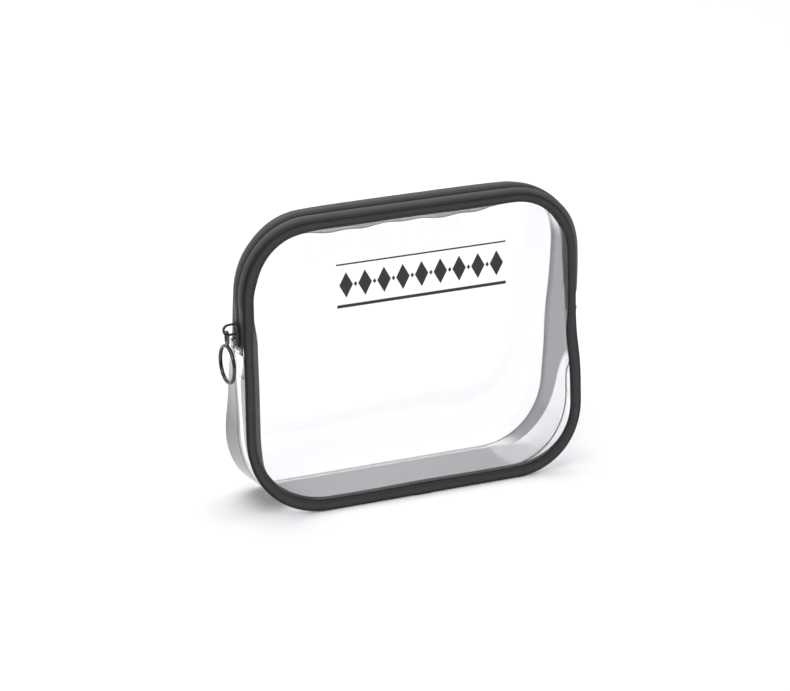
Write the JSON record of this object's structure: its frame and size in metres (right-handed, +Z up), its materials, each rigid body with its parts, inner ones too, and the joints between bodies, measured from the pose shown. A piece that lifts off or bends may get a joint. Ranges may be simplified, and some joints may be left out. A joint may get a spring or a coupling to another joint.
{
  "type": "clear zip makeup bag",
  "caption": "Clear rounded-rectangle zip pouch with a black bound front window, a black zipper over the top and a gunmetal ring puller.",
  "frame": {"origin": "middle of the base, on the surface the bag stands on", "axes": "+X towards the bag's right end as seen from its front, +Y from its front to its back, +Z up"},
  "size_m": [0.2162, 0.0508, 0.173],
  "materials": {
    "clear_sheet": "clear, soft, glossy vinyl sheet",
    "smoky_sheet": "clear vinyl with a faint grey tint, soft and glossy",
    "binding": "black woven binding, low satin sheen",
    "zipper_tape": "black woven tape, matte",
    "zipper_coil": "black nylon monofilament",
    "gunmetal": "polished dark gunmetal plating"
  },
  "bodies": {
    "pouch": {"front_panel_lower": "clear_sheet", "front_binding_lower": "binding", "back_panel": "clear_sheet", "gusset_front_strip": "clear_sheet", "gusset_back_strip": "smoky_sheet", "zipper_tape_back": "zipper_tape", "zipper_coil_back": "zipper_coil"},
    "front_flap": {"front_panel_upper": "clear_sheet", "front_binding_upper": "binding", "zipper_tape_front": "zipper_tape", "zipper_coil_front": "zipper_coil"},
    "slider": {"slider_body": "gunmetal"},
    "puller": {"ring_puller": "gunmetal"}
  },
  "joints": [
    {"name": "mouth_fold", "type": "hinge", "parent": "pouch", "child": "front_flap", "pos_m": [0, -0.02102, 0.09605], "axis": [1, 0, 0], "range_deg": [0, 35]},
    {"name": "slider_travel", "type": "slide", "parent": "pouch", "child": "slider", "axis": [0, 0.0523, 0.9986], "range_m": [0, 0.01]},
    {"name": "puller_swing", "type": "hinge", "parent": "slider", "child": "puller", "pos_m": [-0.1086, -0.01047, 0.1101], "axis": [0, 1, 0], "range_deg": [-2, 170]}
  ]
}
